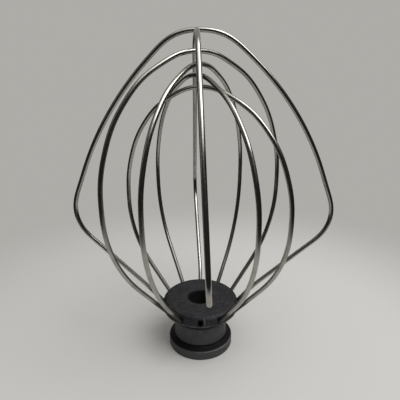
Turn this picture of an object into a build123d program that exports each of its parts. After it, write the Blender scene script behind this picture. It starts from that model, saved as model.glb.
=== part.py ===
from build123d import *
from math import cos, hypot, pi, radians, sin, tan
import os

# Stand mixer wire whisk standing on its hub, in millimetres.
# +Z runs up the shaft axis from the hub's base; the broken end of the loose loop is on the -Y side.

# Hub: base ring, neck and flange, turned in one piece
hub_height = 27.6
base_radius = 17.2
base_height = 4.8
base_slope = 1.2
neck_foot_radius = 14.2
neck_top_radius = 13.8
neck_fillet = 0.8
flange_radius = 20.0
flange_thickness = 5.4
flange_round = 2.4
flare_angle = 45.0
edge_round = 0.5

# Shaft bore and its bayonet slot
bore_radius = 6.45
bore_chamfer = 0.4
slot_width = 4.4
slot_depth = 3.15
lock_low = 6.2
lock_turn = 50.0

# Wire, and the slanted holes that its ends are seated in
wire_diameter = 2.2
hole_clearance = 0.05
hole_drop = 2.7
hole_tilt = 50.0
hole_depth = 5.0
hole_overrun = 2.0
seat_gap = 0.1
loop_count = 6

# Shoulder loop: the crown, then the corners that its bends round off on each side
shoulder_crown = 161.0
crown_corner_radius = 11.0
flank_drop = 32.6
right_flank_radius = 47.7
left_flank_radius = 44.1
right_shoulder_radius = 69.4
right_shoulder_height = 70.3
left_shoulder_radius = 65.7
left_shoulder_height = 73.6
shoulder_reach = 13.5
foot_run = 11.0
foot_reach = 4.0

# Round loops: each crown's drop below the next one up, the belly, and the lean along the loop's plane.
# The crowns rise a little from the arms' arcs to a soft point.
crown_rise = 1.2
tall_drop = 8.3
tall_belly_radius = 49.2
tall_belly_height = 87.5
tall_lean = -0.65
upper_drop = 5.4
upper_belly_radius = 47.1
upper_belly_height = 89.0
upper_lean = 0.7
lower_drop = 4.7
lower_belly_radius = 48.6
lower_belly_height = 84.0
lower_lean = 2.75
short_drop = 5.2
short_belly_radius = 46.2
short_belly_height = 79.2
short_lean = -1.1

# Loose loop: a second shoulder loop across the first, under its crown. The back arm is still seated;
# the front arm is broken off in its shoulder bend and has sprung up. A drift is sideways, to the right.
crossing_gap = 0.3
crown_pitch = 9.5
back_crown_radius = 8.0
front_crown_radius = 20.0
back_flank_radius = 44.9
front_flank_radius = 48.2
back_shoulder_radius = 69.0
back_shoulder_height = 70.5
front_shoulder_radius = 68.5
front_shoulder_height = 72.0
tip_inset = 3.5
tip_drop = 6.6
tip_round = 0.8
loose_foot_run = 8.0
loose_foot_reach = 3.0
back_drift = -3.5
back_crown_drift = -2.2
front_crown_drift = -0.8
tip_drift = 3.2

# Bends per quarter of a round loop, and the share of the room between corners that a bend takes up
arc_steps = 4
bend_share = 0.86

wire_radius = wire_diameter / 2
hole_radius = wire_radius + hole_clearance
hole_height = hub_height - hole_drop
hole_step = 180 / loop_count
flange_low = hub_height - flange_thickness
flare_drop = (flange_radius - neck_top_radius) * tan(radians(flare_angle))
slot_reach = bore_radius + slot_depth
lock_high = lock_low + slot_width
tall_crown = shoulder_crown - tall_drop
upper_crown = tall_crown - upper_drop
lower_crown = upper_crown - lower_drop
short_crown = lower_crown - short_drop
os.makedirs("parts", exist_ok=True)


def rim(piece, radius, order):
    """Circular edge of a radius: order 0 is the lowest one, -1 the highest."""
    circles = piece.edges().filter_by(GeomType.CIRCLE)
    return circles.filter_by(lambda edge: abs(edge.radius - radius) < 0.01).sort_by(Axis.Z)[order]


def on_hole_axis(distance):
    """Radius and height on a wire hole's axis, at a distance out from the flange's side."""
    tilt = radians(hole_tilt)
    return flange_radius + distance * cos(tilt), hole_height + distance * sin(tilt)


def at_azimuth(radius, height, azimuth, sideways=0.0):
    """Point in the upright plane of an azimuth, or moved sideways from it."""
    turn = radians(azimuth)
    return Vector(
        radius * cos(turn) - sideways * sin(turn),
        radius * sin(turn) + sideways * cos(turn),
        height,
    )


def quarter_ellipse(half_width, low, high):
    """Corners (radius, height, bend reach) of runs that wrap a quarter ellipse from belly to crown."""
    step = pi / 2 / arc_steps
    grow = 1 / cos(step / 2)
    corners = []
    for count in range(arc_steps):
        angle = (count + 0.5) * step
        radius = half_width * cos(angle) * grow
        height = low + (high - low) * sin(angle) * grow
        touches = []
        for touch in (count * step, (count + 1) * step):
            across = radius - half_width * cos(touch)
            up = height - low - (high - low) * sin(touch)
            touches.append(hypot(across, up))
        corners.append((radius, height, bend_share * min(touches)))
    return corners


def round_arm(belly_radius, belly_height, crown, lean):
    """Corners of one arm of a round loop, from its low bend to its crown's point, leaning out with height."""
    slope = 1 / tan(radians(hole_tilt))
    low_height = (belly_radius - flange_radius + hole_height * slope) / (slope - lean / crown)
    low_run = (belly_radius - flange_radius) / cos(radians(hole_tilt))
    low_corner = (belly_radius, low_height, bend_share * min(low_run, belly_height - low_height))
    arc = quarter_ellipse(belly_radius, belly_height, crown - crown_rise)
    top_radius, top_height, top_reach = arc.pop()
    point_reach = bend_share * hypot(top_radius, crown_rise) / 2
    arc.append((top_radius, top_height, min(top_reach, point_reach)))
    corners = [low_corner, *arc, (0, crown, point_reach)]
    return [(radius + lean * height / crown, height, reach) for radius, height, reach in corners]


def shoulder_arm(shoulder, flank_radius, crown):
    """Corners of one arm of a shoulder loop, from its shoulder to its crown, which are given as corners."""
    shoulder_radius, shoulder_height, low_reach = shoulder
    crown_radius, crown_height, crown_reach = crown
    flank_height = crown_height - flank_drop
    upper_run = hypot(flank_radius - crown_radius, flank_drop)
    lower_run = hypot(shoulder_radius - flank_radius, flank_height - shoulder_height)
    flank_reach = bend_share * min(upper_run - crown_reach, lower_run - low_reach)
    return [shoulder, (flank_radius, flank_height, flank_reach), crown]


def loop_corners(place, near_arm, far_arm):
    """Corners (point, bend reach) of a loop from the hole at a place to the hole opposite."""
    azimuth = place * hole_step
    seat_radius, seat_height = on_hole_axis(seat_gap - hole_depth)
    corners = [(at_azimuth(seat_radius, seat_height, azimuth), 0)]
    for radius, height, reach in near_arm:
        corners.append((at_azimuth(radius, height, azimuth), reach))
    for radius, height, reach in reversed(far_arm):
        corners.append((at_azimuth(-radius, height, azimuth), reach))
    corners.append((at_azimuth(-seat_radius, seat_height, azimuth), 0))
    return corners


def drift_at(height, top, top_drift, end, end_drift):
    """Sideways drift at a height of an arm, in proportion between the drifts at its top and its end."""
    return top_drift + (end_drift - top_drift) * (top - height) / (top - end)


def loose_corners(place):
    """Corners (point, bend reach) of the loose loop from its hole over the crown to the broken tip."""
    azimuth = place * hole_step
    crossing = shoulder_crown - wire_diameter - crossing_gap
    back_top = crossing - back_crown_radius * tan(radians(crown_pitch))
    front_top = crossing + front_crown_radius * tan(radians(crown_pitch))
    crown_reach = bend_share * hypot(back_crown_radius + front_crown_radius, front_top - back_top) / 2
    back_crown = (back_crown_radius, back_top, crown_reach)
    back_shoulder = (back_shoulder_radius, back_shoulder_height, shoulder_reach)
    back_arm = shoulder_arm(back_shoulder, back_flank_radius, back_crown)
    front_crown = (front_crown_radius, front_top, crown_reach)
    tip_reach = bend_share * hypot(tip_inset, tip_drop)
    front_shoulder = (front_shoulder_radius, front_shoulder_height, tip_reach)
    front_arm = shoulder_arm(front_shoulder, front_flank_radius, front_crown)
    tip_height = front_shoulder_height - tip_drop
    tip = (front_shoulder_radius - tip_inset, tip_height, 0)

    corners = [
        (at_azimuth(*on_hole_axis(seat_gap - hole_depth), azimuth), 0),
        (at_azimuth(*on_hole_axis(loose_foot_run), azimuth), loose_foot_reach),
    ]
    for radius, height, reach in back_arm:
        drift = drift_at(height, back_top, back_crown_drift, back_shoulder_height, back_drift)
        corners.append((at_azimuth(radius, height, azimuth, -drift), reach))
    for radius, height, reach in [*reversed(front_arm), tip]:
        drift = drift_at(height, front_top, front_crown_drift, tip_height, tip_drift)
        corners.append((at_azimuth(-radius, height, azimuth, -drift), reach))
    return corners


def bend_radius(before, corner, after, reach):
    """Radius of a bend that starts and ends at a reach from its corner."""
    return reach * tan(radians((before - corner).get_angle(after - corner)) / 2)


def bent_wire(name, corners, free_end_round=0.0):
    """Round wire along straight runs joined by bends, written out as one piece."""
    points = [point for point, reach in corners]
    radii = []
    for count in range(1, len(points) - 1):
        radii.append(bend_radius(*points[count - 1 : count + 2], corners[count][1]))
    with BuildPart() as wire:
        with BuildLine() as path:
            FilletPolyline(*points, radius=radii)
        rail = path.wires()[0]
        with BuildSketch(Plane(origin=rail @ 0, z_dir=rail % 0)) as section:
            Circle(wire_radius)
        sweep(path=rail)
        if free_end_round > 0:
            end_face = wire.faces().sort_by_distance(points[-1])[0]
            fillet(end_face.edges(), free_end_round)
    wire.part.label = name
    export_step(wire.part, f"parts/{name}.step")


with BuildPart() as hub:
    with BuildSketch(Plane.XZ) as hub_section:
        with BuildLine() as hub_outline:
            Polyline(
                (bore_radius, 0),
                (base_radius, 0),
                (base_radius, base_height),
                (neck_foot_radius, base_height + base_slope),
                (neck_top_radius, flange_low - flare_drop),
                (flange_radius, flange_low),
                (flange_radius, hub_height),
                (bore_radius, hub_height),
                close=True,
            )
        make_face()
    revolve(axis=Axis.Z)
    fillet(rim(hub, flange_radius, -1), flange_round)
    fillet(rim(hub, flange_radius, 0), edge_round)
    fillet(rim(hub, base_radius, -1), edge_round)
    fillet(rim(hub, base_radius, 0), edge_round)
    fillet(rim(hub, neck_foot_radius, 0), neck_fillet)
    chamfer(rim(hub, bore_radius, -1), bore_chamfer)

    # Bayonet: an upright slot from the base and a locking groove turned off it
    with BuildSketch(Plane.XY) as slot_section:
        with Locations((slot_reach / 2, 0)):
            Rectangle(slot_reach, slot_width)
    extrude(amount=lock_high, mode=Mode.SUBTRACT)
    with BuildSketch(Plane.XZ) as lock_section:
        with Locations((slot_reach / 2, (lock_low + lock_high) / 2)):
            Rectangle(slot_reach, slot_width)
    revolve(axis=Axis.Z, revolution_arc=lock_turn, mode=Mode.SUBTRACT)

    # Slanted wire holes round the flange, one for each end of each loop
    mouths = []
    for count in range(2 * loop_count):
        outside = at_azimuth(*on_hole_axis(hole_overrun), count * hole_step)
        at_side = at_azimuth(*on_hole_axis(0), count * hole_step)
        mouths.append(Plane(origin=outside, z_dir=outside - at_side))
    with Locations(*mouths):
        Hole(radius=hole_radius, depth=hole_overrun + hole_depth)
hub.part.label = "hub"
export_step(hub.part, "parts/hub.step")

foot = (*on_hole_axis(foot_run), foot_reach)
crown_corner = (crown_corner_radius, shoulder_crown, bend_share * crown_corner_radius)
right_shoulder = (right_shoulder_radius, right_shoulder_height, shoulder_reach)
left_shoulder = (left_shoulder_radius, left_shoulder_height, shoulder_reach)
right_arm = [foot, *shoulder_arm(right_shoulder, right_flank_radius, crown_corner)]
left_arm = [foot, *shoulder_arm(left_shoulder, left_flank_radius, crown_corner)]
bent_wire("shoulder_loop", loop_corners(0, right_arm, left_arm))

round_loops = {
    "tall_loop": (1, tall_belly_radius, tall_belly_height, tall_crown, tall_lean),
    "upper_loop": (2, upper_belly_radius, upper_belly_height, upper_crown, upper_lean),
    "lower_loop": (4, lower_belly_radius, lower_belly_height, lower_crown, lower_lean),
    "short_loop": (5, short_belly_radius, short_belly_height, short_crown, short_lean),
}
for name, (place, belly_radius, belly_height, crown, lean) in round_loops.items():
    near_arm = round_arm(belly_radius, belly_height, crown, lean)
    far_arm = round_arm(belly_radius, belly_height, crown, -lean)
    far_arm.pop()  # the crown's point is the near arm's last corner
    bent_wire(name, loop_corners(place, near_arm, far_arm))

bent_wire("loose_loop", loose_corners(3), tip_round)
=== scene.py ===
import math
from collections import namedtuple

import bpy
import numpy as np
from mathutils import Matrix, Vector
from mathutils.kdtree import KDTree


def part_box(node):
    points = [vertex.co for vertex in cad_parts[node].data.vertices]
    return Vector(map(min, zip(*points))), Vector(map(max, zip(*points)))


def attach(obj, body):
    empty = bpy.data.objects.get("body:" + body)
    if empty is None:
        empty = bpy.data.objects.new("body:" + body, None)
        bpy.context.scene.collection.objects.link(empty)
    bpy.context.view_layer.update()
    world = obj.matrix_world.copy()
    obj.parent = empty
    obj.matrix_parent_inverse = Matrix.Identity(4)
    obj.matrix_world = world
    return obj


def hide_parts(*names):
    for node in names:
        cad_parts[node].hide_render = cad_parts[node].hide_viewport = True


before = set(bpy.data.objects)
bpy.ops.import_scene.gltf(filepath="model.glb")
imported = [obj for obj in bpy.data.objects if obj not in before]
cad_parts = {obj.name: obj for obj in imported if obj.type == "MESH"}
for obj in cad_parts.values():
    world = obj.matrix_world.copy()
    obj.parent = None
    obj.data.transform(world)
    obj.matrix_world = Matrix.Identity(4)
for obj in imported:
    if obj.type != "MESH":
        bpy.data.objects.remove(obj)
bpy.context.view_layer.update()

# Sizes are in metres, angles in degrees and tones in linear light.

# Camera, fitted to the photograph's perspective
camera_place = (0.0, -0.18627, 0.14707)
camera_tilt = 71.01
camera_roll = -0.22
camera_lens_mm = 35.65
camera_sensor_mm = 36.0
camera_near = 0.01

# Wires, swept again along the CAD wires' centre lines
shoulder_low, shoulder_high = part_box("shoulder_loop")
wire_radius = (shoulder_high.y - shoulder_low.y) / 2
wire_sides = 24
wire_step = 0.0009
curve_points_per_step = 4
least_side = 0.01

# Rings of vertices in a CAD wire's mesh: scatter of their centres, fewest members, longest mean normal
ring_spread = 0.00015
ring_members = 12
ring_lopsided = 0.2

# How far each wire's bends blend into its straights, and how many times that far the blending looks
wire_blends = {
    "shoulder_loop": 0.004,
    "tall_loop": 0.004,
    "upper_loop": 0.004,
    "lower_loop": 0.004,
    "short_loop": 0.004,
    "loose_loop": 0.002,
}
blend_span = 3

# Rounded end of the broken wire
broken_wire = "loose_loop"
tip_round = 0.0008
tip_rings = 6

# Hub: its edges and corners, and its wire holes
hub_top = 0.0276
hub_edge_radius = 0.02
hub_edge_low = 0.0222
bore_edge_radius = 0.00685
neck_radius = 0.0138
ring_radius = 0.0172
ring_height = 0.0048
hole_height = 0.0249
hole_tilt = 50.0
hole_step = 30.0

# Noise in the materials: scale, detail and roughness
line_noise = (9.0, 3.0, 0.5)
patch_noise = (90.0, 3.0, 0.55)
cloud_noise = (300.0, 4.0, 0.6)
grain_noise = (2600.0, 2.0, 0.5)
turned_noise = (1900.0, 2.0, 0.6)
speck_noise = (900.0, 3.0, 0.65)
wear_and_highlight_noise = (420.0, 3.0, 0.55)

# Steel with drawn lines and dull patches. A pair is where a change starts and where it is full.
steel_tone = (0.413, 0.402, 0.371, 1.0)
dull_tone = (0.322, 0.309, 0.28, 1.0)
dull_range = (0.42, 0.72)
line_stretch = 40.0
line_bump = {"Strength": 0.03, "Distance": 0.00002}
drawn_range = (0.3, 1.6)
drawn_roughness = (0.14, 0.26)
satin_height = (0.07, 0.035)
satin_roughness = (0.0, 0.16)

# Tarnish on the steel
tarnish_tone = (0.2, 0.194, 0.178, 1.0)
tarnish_share = 0.85
tarnish_height = (0.066, 0.048)
tarnish_back = (0.006, 0.014)
tarnish_side = (0.004, 0.009)

# Residue on the steel, by distance from the axis, which noise shifts, and painted shade that runs it
# further along the wire's underside
residue_and_shade_tone = (0.05, 0.045, 0.04, 1.0)
residue_share = 0.9
residue_radius = (0.0316, 0.0258)
residue_height = (hub_top + 0.008, hub_top + 0.004)
residue_front = (0.012, -0.004)
residue_front_share = (0.3, 1.0)
residue_ragged = 0.006
# Painted shade on the wire's underside: how far the way the surface faces carries the residue
underside_shade_facing = (0.45, 0.0)
underside_shade_reach = (-0.003, 0.004)

# Hub metal: turned, mottled and speckled
neck_tone = (0.084, 0.0846, 0.086, 1.0)
flange_tone = (0.02, 0.0198, 0.025, 1.0)
flange_height = (hub_edge_low - 0.0004, hub_edge_low + 0.0004)
mottle_tone = (0.082, 0.081, 0.085, 1.0)
mottle_share = 0.5
mottle_range = (0.45, 1.05)
mottle_turned = 0.5
speck_tone = (0.15, 0.149, 0.152, 1.0)
speck_share = 0.35
speck_range = (0.5, 0.75)
hub_metallic = 0.8
hub_rough_range = (0.3, 0.7)
hub_roughness = (0.5, 0.66)
hub_bump = {"Strength": 0.25, "Distance": 0.0001}
hub_bump_turned = 0.7

# Painted shade on the hub. A band is a low edge, a high edge and the softness of both.
# Painted shade inside the bore
bore_shade_tone = (0.034, 0.034, 0.037, 1.0)
bore_radius = (bore_edge_radius + 0.0002, bore_edge_radius - 0.0001)
# Painted shade round the flange's top edge, stronger on its left
brink_shade_tone = (0.01, 0.01, 0.012, 1.0)
brink_band = (hub_top - 0.001, hub_top - 0.0002, 0.0004)
brink_radius = (hub_edge_radius - 0.002, hub_edge_radius - 0.0012)
brink_side = (-0.002, 0.008)
brink_side_share = (0.7, 0.3)
# Painted shade on the flange's left side
left_shade_tone = (0.008, 0.008, 0.009, 1.0)
left_side = (-0.006, -0.012)
left_side_share = (0.0, 0.7)
left_radius = (hub_edge_radius - 0.0014, hub_edge_radius - 0.0006)
# Painted shade, in black, for the bore's rim, the corner over the base ring, the flare and the hole pockets
black_shade_tone = (0.01, 0.01, 0.011, 1.0)
rim_band = (bore_edge_radius - 0.0003, bore_edge_radius + 0.0001, 0.0001)
rim_height = (hub_top - 0.0006, hub_top - 0.0004)
corner_band = (ring_height - 0.0002, ring_height + 0.0021, 0.0003)
corner_radius = (ring_radius - 0.0001, ring_radius - 0.0005)
flare_band = (hub_edge_low - 0.0045, hub_edge_low - 0.0002, 0.0004)
flare_radius = (neck_radius + 0.0005, neck_radius + 0.0015)
pocket_reach = (0.002, 0.0013)

# Painted highlights on the hub's edges, and a scratch worn beside the empty hole
wear_and_highlight_tone = (0.24, 0.23, 0.215, 1.0)
wear_and_highlight_range = (0.3, 0.75)
edge_band = (hub_edge_low + 0.0001, hub_edge_low + 0.0006, 0.0002)
edge_radius = (hub_edge_radius - 0.0006, hub_edge_radius - 0.0003)
edge_radius_share = (0.0, 0.6)
ring_edge_band = (ring_height - 0.0005, ring_height, 0.0003)
ring_edge_side = (-0.006, 0.012)
scratch_reach = (0.0021, 0.0023, 0.0003)
scratch_front = (-0.0175, -0.019)
scratch_side = (0.0018, 0.0026, 0.0004)

# Light: a key lamp above and to the right, a weaker overhead lamp, and a plain pale room
room_tone = (0.42, 0.413, 0.39, 1.0)
lamp_aim = Vector((0.0, 0.0, 0.08))
key_way = Vector((0.52, -0.27, 0.9)).normalized()
key_distance = 0.85
key_size = 0.7
key_watts = 5.6
overhead_way = Vector((0.12, -0.28, 0.95)).normalized()
overhead_distance = 1.1
overhead_size = 1.2
overhead_watts = 4.4

# Dark cards bent round the whisk, out of the camera's sight; the near one shows only in the metal
Card = namedtuple("Card", "name from_azimuth to_azimuth radius low high soft_top grey")
card_radius = 0.7
card_low = -0.6
card_columns = 25
cards = [
    Card("front_left_card", -60, -10, card_radius, card_low, 1.5, 0.9, 0.05),
    Card("front_card", -10, 32, card_radius, card_low, 0.86, 0.5, 0.05),
    Card("front_right_card", 32, 62, card_radius, card_low, 0.8, 0.12, 0.05),
    Card("right_card", 62, 98, card_radius, card_low, 0.66, 0.12, 0.05),
    Card("right_back_card", 98, 126, card_radius, card_low, 0.9, 0.3, 0.05),
    Card("back_card", 126, 222, card_radius, card_low, 0.2, 0.2, 0.1),
    Card("left_card", 222, 274, 0.2, 0.003, 0.45, 0.2, 0.04),
    Card("left_front_card", 274, 300, card_radius, card_low, 0.42, 0.2, 0.07),
]

# Floor, pale round the whisk and fading into the background
floor_tone = (0.575, 0.57, 0.557, 1.0)
floor_roughness = 0.9
floor_specular = 0.1
floor_radius = 0.3
floor_sides = 96
floor_fade = (0.1, 0.24)


def wire_rings(mesh):
    """Centre and direction of each ring of vertices round a wire, and each vertex's ring or -1."""
    points = np.array([vertex.co for vertex in mesh.vertices])
    normals = np.zeros_like(points)
    for loop, normal in zip(mesh.loops, mesh.corner_normals):
        normals[loop.vertex_index] = normal.vector
    guesses = points - wire_radius * normals
    tree = KDTree(len(points))
    for index, guess in enumerate(guesses):
        tree.insert(guess, index)
    tree.balance()

    ring_of = np.full(len(points), -1)
    centres = []
    directions = []
    for index, guess in enumerate(guesses):
        if ring_of[index] >= 0:
            continue
        members = [found for _, found, _ in tree.find_range(guess, ring_spread) if ring_of[found] < 0]
        lopsided = np.linalg.norm(normals[members].mean(axis=0)) > ring_lopsided
        if len(members) < ring_members or lopsided:
            continue
        ring_of[members] = len(centres)
        centre = guesses[members].mean(axis=0)
        centres.append(centre)
        directions.append(np.linalg.svd(points[members] - centre)[2][2])
    return np.array(centres), np.array(directions), ring_of


def ring_order(mesh, centres, ring_of):
    """Rings in order along a wire, from its lower end."""
    beside = {ring: set() for ring in range(len(centres))}
    for polygon in mesh.polygons:
        rings = {ring_of[vertex] for vertex in polygon.vertices} - {-1}
        for ring in rings:
            beside[ring] |= rings - {ring}
    ends = [ring for ring, others in beside.items() if len(others) == 1]
    order = [min(ends, key=lambda ring: centres[ring][2])]
    while True:
        last = centres[order[-1]]
        ahead = [ring for ring in beside[order[-1]] if ring not in order]
        if not ahead:
            return order
        order.append(min(ahead, key=lambda ring: np.linalg.norm(centres[ring] - last)))


def centre_line(node):
    """Ring centres of a CAD wire in order along it, and its direction at each."""
    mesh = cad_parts[node].data
    centres, directions, ring_of = wire_rings(mesh)
    order = ring_order(mesh, centres, ring_of)
    line = centres[order]
    along = directions[order]
    chords = np.gradient(line, axis=0)
    along *= np.sign((along * chords).sum(axis=1))[:, None]
    return line, along


def averaged(points, reach):
    """An evenly spaced line, averaged along itself, with its ends kept."""
    steps = int(blend_span * reach / wire_step)
    weights = np.exp(-0.5 * (np.arange(-steps, steps + 1) * wire_step / reach) ** 2)
    weights /= weights.sum()
    before = 2 * points[0] - points[steps:0:-1]
    after = 2 * points[-1] - points[-2:-steps - 2:-1]
    padded = np.vstack([before, points, after])
    return np.column_stack([np.convolve(padded[:, axis], weights, "valid") for axis in range(3)])


def smooth_line(line, along, reach):
    """Evenly spaced points on a smooth curve along the ring centres, their directions and lengths along."""
    points = []
    for start, end, leave, arrive in zip(line[:-1], line[1:], along[:-1], along[1:]):
        length = np.linalg.norm(end - start)
        steps = max(2, int(length / wire_step * curve_points_per_step))
        for share in np.arange(steps) / steps:
            at_start = 2 * share**3 - 3 * share**2 + 1
            leaving = share**3 - 2 * share**2 + share
            arriving = share**3 - share**2
            bend = length * (leaving * leave + arriving * arrive)
            points.append(at_start * start + (1 - at_start) * end + bend)
    points.append(line[-1])
    points = np.array(points)
    run = np.concatenate([[0], np.cumsum(np.linalg.norm(np.diff(points, axis=0), axis=1))])
    places = np.linspace(0, run[-1], int(run[-1] / wire_step) + 1)
    even = np.column_stack([np.interp(places, run, points[:, axis]) for axis in range(3)])

    # Averaging pulls a bend inwards, and a second pass measures the pull that is given back
    soft = averaged(even, reach)
    even = 2 * soft - averaged(soft, reach)
    heading = np.gradient(even, axis=0)
    heading /= np.linalg.norm(heading, axis=1)[:, None]
    return even, heading, places


def carried_sides(heading):
    """A sideways direction at each point of a line, carried along it without twist."""
    side = np.cross(heading[0], (0, 0, 1))
    if np.linalg.norm(side) < least_side:
        side = np.cross(heading[0], (1, 0, 0))
    sides = []
    for direction in heading:
        side = side - direction * (side @ direction)
        side /= np.linalg.norm(side)
        sides.append(side)
    return np.array(sides)


def tube_mesh(name, points, heading, places, radii):
    """Closed tube along a line, with a map of the length along it and the share of a turn round it."""
    sides = carried_sides(heading)
    up = np.cross(heading, sides)
    angles = np.arange(wire_sides) * 2 * math.pi / wire_sides
    ring = sides[:, None] * np.cos(angles)[None, :, None] + up[:, None] * np.sin(angles)[None, :, None]
    vertices = (points[:, None] + radii[:, None, None] * ring).reshape(-1, 3)
    walls = []
    spots = []
    for row in range(len(points) - 1):
        first = row * wire_sides
        second = first + wire_sides
        here, there = places[row], places[row + 1]
        for column in range(wire_sides):
            ahead = (column + 1) % wire_sides
            walls.append((first + column, first + ahead, second + ahead, second + column))
            near, far = column / wire_sides, (column + 1) / wire_sides
            spots += [(here, near), (here, far), (there, far), (there, near)]
    last = (len(points) - 1) * wire_sides
    caps = [tuple(reversed(range(wire_sides))), tuple(range(last, last + wire_sides))]
    spots += [(places[0], 0.0)] * wire_sides + [(places[-1], 0.0)] * wire_sides

    mesh = bpy.data.meshes.new(name)
    mesh.from_pydata(vertices.tolist(), [], walls + caps)
    layer = mesh.uv_layers.new(name="along_around")
    layer.data.foreach_set("uv", np.array(spots, dtype=np.float32).ravel())
    mesh.polygons.foreach_set("use_smooth", [True] * len(walls) + [False] * len(caps))
    mesh.update()
    return mesh


def wire_piece(node, reach, material):
    """Finer wire in place of a CAD wire."""
    line, along = centre_line(node)
    points, heading, places = smooth_line(line, along, reach)
    radii = np.full(len(points), wire_radius)
    if node == broken_wire:
        turns = np.linspace(0, math.pi / 2, tip_rings + 1)[1:]
        onward = tip_round * np.sin(turns)
        points = np.vstack([points, points[-1] + heading[-1] * onward[:, None]])
        heading = np.vstack([heading, np.repeat(heading[-1:], tip_rings, axis=0)])
        places = np.concatenate([places, places[-1] + onward])
        radii = np.concatenate([radii, wire_radius - tip_round * (1 - np.cos(turns))])
    mesh = tube_mesh(node + "_wire", points, heading, places, radii)
    mesh.materials.append(material)
    piece = bpy.data.objects.new(node + "_wire", mesh)
    bpy.context.scene.collection.objects.link(piece)
    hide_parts(node)
    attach(piece, "root")


class Nodes:
    """Shorthand for building a node tree."""

    def __init__(self, tree):
        self.tree = tree

    def plug(self, value, socket):
        """Link an output to a socket, or set the socket to a plain value."""
        if isinstance(value, bpy.types.NodeSocket):
            self.tree.links.new(value, socket)
        else:
            socket.default_value = value

    def add(self, kind, inputs=None, **settings):
        """New node with its settings and inputs."""
        node = self.tree.nodes.new(kind)
        for name, value in settings.items():
            setattr(node, name, value)
        for name, value in (inputs or {}).items():
            self.plug(value, node.inputs[name])
        return node

    def split(self, vector):
        """The three parts of a vector."""
        parts = self.add("ShaderNodeSeparateXYZ", {"Vector": vector})
        return [parts.outputs[axis] for axis in "XYZ"]

    def math(self, operation, *values):
        """Result of one operation."""
        return self.add("ShaderNodeMath", dict(enumerate(values)), operation=operation).outputs[0]

    def product(self, result, *others):
        """All values multiplied."""
        for other in others:
            result = self.math("MULTIPLY", result, other)
        return result

    def highest(self, result, *others):
        """The highest of the values."""
        for other in others:
            result = self.math("MAXIMUM", result, other)
        return result

    def length(self, first, second):
        """Length of a flat vector."""
        squares = [self.product(value, value) for value in (first, second)]
        return self.math("SQRT", self.math("ADD", *squares))

    def ramp(self, value, low, high, start=0.0, end=1.0):
        """Smooth change from start, where the value is low, to end, where it is high."""
        inputs = {"Value": value, "From Min": low, "From Max": high, "To Min": start, "To Max": end}
        return self.add("ShaderNodeMapRange", inputs, interpolation_type="SMOOTHSTEP").outputs[0]

    def band(self, value, low, high, soft):
        """One from low to high, fading to zero outside them."""
        return self.product(self.ramp(value, low - soft, low), self.ramp(value, high + soft, high))

    def mix(self, share, first, second):
        """Mixed colour."""
        node = self.add("ShaderNodeMix", data_type="RGBA")
        sockets = {socket.name: socket for socket in node.inputs if socket.enabled}
        for name, value in {"Factor": share, "A": first, "B": second}.items():
            self.plug(value, sockets[name])
        return [socket for socket in node.outputs if socket.enabled][0]

    def noise(self, place, scale, detail, roughness):
        """Grey noise."""
        inputs = {"Vector": place, "Scale": scale, "Detail": detail, "Roughness": roughness}
        return self.add("ShaderNodeTexNoise", inputs).outputs["Fac"]


def new_material(name):
    """Empty node material with a Principled shader and its output."""
    material = bpy.data.materials.new(name)
    material.use_nodes = True
    tree = material.node_tree
    tree.nodes.clear()
    nodes = Nodes(tree)
    shader = nodes.add("ShaderNodeBsdfPrincipled")
    nodes.add("ShaderNodeOutputMaterial", {"Surface": shader.outputs[0]})
    return material, nodes, shader


def fade_out(nodes, shader, share):
    """Make a material clear by a share from 0 to 1."""
    clear = nodes.add("ShaderNodeBsdfTransparent")
    blend = nodes.add("ShaderNodeMixShader", {"Fac": share, 1: shader.outputs[0], 2: clear.outputs[0]})
    nodes.plug(blend.outputs[0], nodes.tree.nodes["Material Output"].inputs["Surface"])


def steel_material():
    """Bright drawn steel wire with fine lines along it, dull patches, tarnish, residue and painted shade on
    its underside near the hub.
    """
    material, nodes, shader = new_material("drawn_steel")
    along, around = nodes.split(nodes.add("ShaderNodeUVMap", uv_map="along_around").outputs[0])[:2]
    angle = nodes.product(around, 2 * math.pi)
    drawn = nodes.add("ShaderNodeCombineXYZ", {
        "X": nodes.math("COSINE", angle),
        "Y": nodes.math("SINE", angle),
        "Z": nodes.product(along, line_stretch),
    })
    lines = nodes.noise(drawn.outputs[0], *line_noise)
    surface = nodes.add("ShaderNodeTexCoord")
    place = surface.outputs["Object"]
    x, y, z = nodes.split(place)
    patches = nodes.noise(place, *patch_noise)
    dull = nodes.ramp(patches, *dull_range)
    colour = nodes.mix(dull, steel_tone, dull_tone)

    # Tarnish low on the round loops' back arms
    tarnish = nodes.product(
        nodes.ramp(z, *tarnish_height),
        nodes.ramp(y, *tarnish_back),
        nodes.ramp(nodes.math("ABSOLUTE", x), *tarnish_side),
        tarnish_share,
    )
    colour = nodes.mix(tarnish, colour, tarnish_tone)

    # Dark residue where a wire leaves the hub, weaker at the back, and painted shade that runs it further
    # along its underside
    upward = nodes.split(surface.outputs["Normal"])[2]
    shift = nodes.ramp(upward, *underside_shade_facing, *underside_shade_reach)
    shift = nodes.math("SUBTRACT", nodes.product(patches, residue_ragged), shift)
    residue_and_shade = nodes.product(
        nodes.ramp(nodes.math("ADD", nodes.length(x, y), shift), *residue_radius),
        nodes.ramp(z, *residue_height),
        nodes.ramp(y, *residue_front, *residue_front_share),
        residue_share,
    )
    colour = nodes.mix(residue_and_shade, colour, residue_and_shade_tone)

    satin = nodes.ramp(z, *satin_height, *satin_roughness)
    rough = nodes.ramp(nodes.math("ADD", lines, dull), *drawn_range, *drawn_roughness)
    bump = nodes.add("ShaderNodeBump", {"Height": lines, **line_bump})
    nodes.plug(colour, shader.inputs["Base Color"])
    nodes.plug(nodes.math("ADD", satin, rough), shader.inputs["Roughness"])
    nodes.plug(bump.outputs[0], shader.inputs["Normal"])
    shader.inputs["Metallic"].default_value = 1.0
    return material


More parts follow.
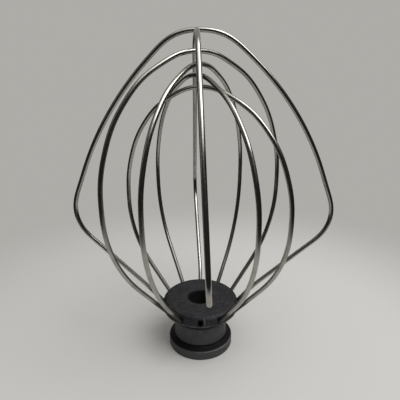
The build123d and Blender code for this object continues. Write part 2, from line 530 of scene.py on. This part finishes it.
def distance_to_hole(nodes, x, y, z, radius):
    """Distance from the axis of the nearest wire hole."""
    step = math.radians(hole_step)
    tilt = math.radians(hole_tilt)
    holes_round = nodes.math("DIVIDE", nodes.math("ARCTAN2", y, x), step)
    off_hole = nodes.math("SUBTRACT", holes_round, nodes.math("ROUND", holes_round))
    beside = nodes.product(off_hole, step, radius)
    outward = nodes.product(nodes.math("SUBTRACT", radius, hub_edge_radius), math.sin(tilt))
    upward = nodes.product(nodes.math("SUBTRACT", z, hole_height), math.cos(tilt))
    return nodes.length(beside, nodes.math("SUBTRACT", outward, upward))


def hub_material():
    """Dark oxidised aluminium: turned, mottled, with painted black shade in its corners and painted
    highlights on its edges.
    """
    material, nodes, shader = new_material("oxidised_aluminium")
    place = nodes.add("ShaderNodeTexCoord").outputs["Object"]
    x, y, z = nodes.split(place)
    radius = nodes.length(x, y)
    from_hole = distance_to_hole(nodes, x, y, z, radius)
    cloud = nodes.noise(place, *cloud_noise)
    grain = nodes.noise(place, *grain_noise)
    profile = nodes.add("ShaderNodeCombineXYZ", {"X": radius, "Z": z})
    turned = nodes.noise(profile.outputs[0], *turned_noise)

    flange = nodes.ramp(z, *flange_height)
    colour = nodes.mix(flange, neck_tone, flange_tone)
    mottle = nodes.ramp(nodes.math("ADD", cloud, nodes.product(turned, mottle_turned)), *mottle_range)
    colour = nodes.mix(nodes.product(mottle, mottle_share), colour, mottle_tone)
    specks = nodes.ramp(nodes.noise(place, *speck_noise), *speck_range)
    colour = nodes.mix(nodes.product(specks, speck_share), colour, speck_tone)

    # Painted shade in the bore, round the flange's top edge and on its left side
    colour = nodes.mix(nodes.ramp(radius, *bore_radius), colour, bore_shade_tone)
    brink_shade = nodes.product(
        nodes.band(z, *brink_band),
        nodes.ramp(radius, *brink_radius),
        nodes.ramp(x, *brink_side, *brink_side_share),
    )
    colour = nodes.mix(brink_shade, colour, brink_shade_tone)
    left_shade = nodes.product(
        flange,
        nodes.ramp(x, *left_side, *left_side_share),
        nodes.ramp(radius, *left_radius),
    )
    colour = nodes.mix(left_shade, colour, left_shade_tone)

    # Painted shade in black: the rim of the bore, the corner above the base ring, the flare under the
    # flange, and pockets round the holes
    rim = nodes.product(nodes.band(radius, *rim_band), nodes.ramp(z, *rim_height))
    corner = nodes.product(nodes.band(z, *corner_band), nodes.ramp(radius, *corner_radius))
    flare = nodes.product(nodes.band(z, *flare_band), nodes.ramp(radius, *flare_radius))
    pocket = nodes.product(flange, nodes.ramp(from_hole, *pocket_reach))
    colour = nodes.mix(nodes.highest(rim, corner, flare, pocket), colour, black_shade_tone)

    # Painted highlights along two edges, and a scratch beside the empty hole
    edge = nodes.product(nodes.band(z, *edge_band), nodes.ramp(radius, *edge_radius, *edge_radius_share))
    ring_edge = nodes.product(nodes.band(z, *ring_edge_band), nodes.ramp(x, *ring_edge_side))
    scratch = nodes.product(
        nodes.band(from_hole, *scratch_reach),
        nodes.ramp(y, *scratch_front),
        nodes.band(x, *scratch_side),
    )
    patchy = nodes.ramp(nodes.noise(place, *wear_and_highlight_noise), *wear_and_highlight_range)
    wear_and_highlight = nodes.product(nodes.highest(edge, ring_edge, scratch), patchy)
    colour = nodes.mix(wear_and_highlight, colour, wear_and_highlight_tone)

    height = nodes.math("ADD", grain, nodes.product(turned, hub_bump_turned))
    bump = nodes.add("ShaderNodeBump", {"Height": height, **hub_bump})
    nodes.plug(colour, shader.inputs["Base Color"])
    nodes.plug(nodes.ramp(cloud, *hub_rough_range, *hub_roughness), shader.inputs["Roughness"])
    nodes.plug(bump.outputs[0], shader.inputs["Normal"])
    shader.inputs["Metallic"].default_value = hub_metallic
    return material


def add_camera():
    """Camera at the photograph's place."""
    data = bpy.data.cameras.new("camera")
    data.lens = camera_lens_mm
    data.sensor_width = camera_sensor_mm
    data.clip_start = camera_near
    camera = bpy.data.objects.new("camera", data)
    tilt = Matrix.Rotation(math.radians(camera_tilt), 4, "X")
    roll = Matrix.Rotation(math.radians(camera_roll), 4, "Z")
    camera.matrix_world = Matrix.Translation(camera_place) @ tilt @ roll
    bpy.context.scene.collection.objects.link(camera)
    bpy.context.scene.camera = camera


def add_lamp(name, way, distance, size, watts):
    """Square soft lamp that looks at the whisk from one direction."""
    data = bpy.data.lights.new(name, "AREA")
    data.shape = "SQUARE"
    data.size = size
    data.energy = watts
    lamp = bpy.data.objects.new(name, data)
    lamp.location = lamp_aim + way * distance
    lamp.rotation_euler = (-way).to_track_quat("-Z", "Y").to_euler()
    lamp.visible_camera = False
    bpy.context.scene.collection.objects.link(lamp)


def add_room():
    """Plain pale grey on every side."""
    world = bpy.data.worlds.new("room")
    bpy.context.scene.world = world
    world.use_nodes = True
    world.node_tree.nodes["Background"].inputs["Color"].default_value = room_tone


def add_card(plan):
    """Dark card bent round the whisk, with a soft top edge, that the camera does not see."""
    turns = np.radians(np.linspace(plan.from_azimuth, plan.to_azimuth, card_columns))
    ring = np.column_stack([np.sin(turns), -np.cos(turns)]) * plan.radius
    vertices = [(x, y, z) for x, y in ring for z in (plan.low, plan.high)]
    faces = [(foot, foot + 2, foot + 3, foot + 1) for foot in range(0, len(vertices) - 2, 2)]
    mesh = bpy.data.meshes.new(plan.name)
    mesh.from_pydata(vertices, [], faces)
    material, nodes, shader = new_material(plan.name)
    shader.inputs["Base Color"].default_value = (plan.grey, plan.grey, plan.grey, 1.0)
    shader.inputs["Roughness"].default_value = 1.0
    shader.inputs["Specular IOR Level"].default_value = 0.0
    height = nodes.split(nodes.add("ShaderNodeTexCoord").outputs["Object"])[2]
    fade_out(nodes, shader, nodes.ramp(height, plan.high - plan.soft_top, plan.high))
    mesh.materials.append(material)
    card = bpy.data.objects.new(plan.name, mesh)
    card.visible_camera = False
    card.visible_diffuse = plan.radius > floor_radius
    card.visible_shadow = False
    bpy.context.scene.collection.objects.link(card)


def add_floor():
    """Plain pale floor that fades into the background."""
    bpy.ops.mesh.primitive_circle_add(vertices=floor_sides, radius=floor_radius, fill_type="NGON")
    floor = bpy.context.object
    floor.name = "floor"
    material, nodes, shader = new_material("pale_floor")
    place = nodes.add("ShaderNodeTexCoord").outputs["Object"]
    from_middle = nodes.add("ShaderNodeVectorMath", {0: place}, operation="LENGTH").outputs["Value"]
    shader.inputs["Base Color"].default_value = floor_tone
    shader.inputs["Roughness"].default_value = floor_roughness
    shader.inputs["Specular IOR Level"].default_value = floor_specular
    fade_out(nodes, shader, nodes.ramp(from_middle, *floor_fade))
    floor.data.materials.append(material)


steel = steel_material()
for wire_node, wire_blend in wire_blends.items():
    wire_piece(wire_node, wire_blend, steel)
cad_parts["hub"].data.materials.clear()
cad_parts["hub"].data.materials.append(hub_material())

add_camera()
add_lamp("key", key_way, key_distance, key_size, key_watts)
add_lamp("overhead", overhead_way, overhead_distance, overhead_size, overhead_watts)
add_room()
for card_plan in cards:
    add_card(card_plan)
add_floor()
bpy.context.scene.view_settings.view_transform = "Standard"
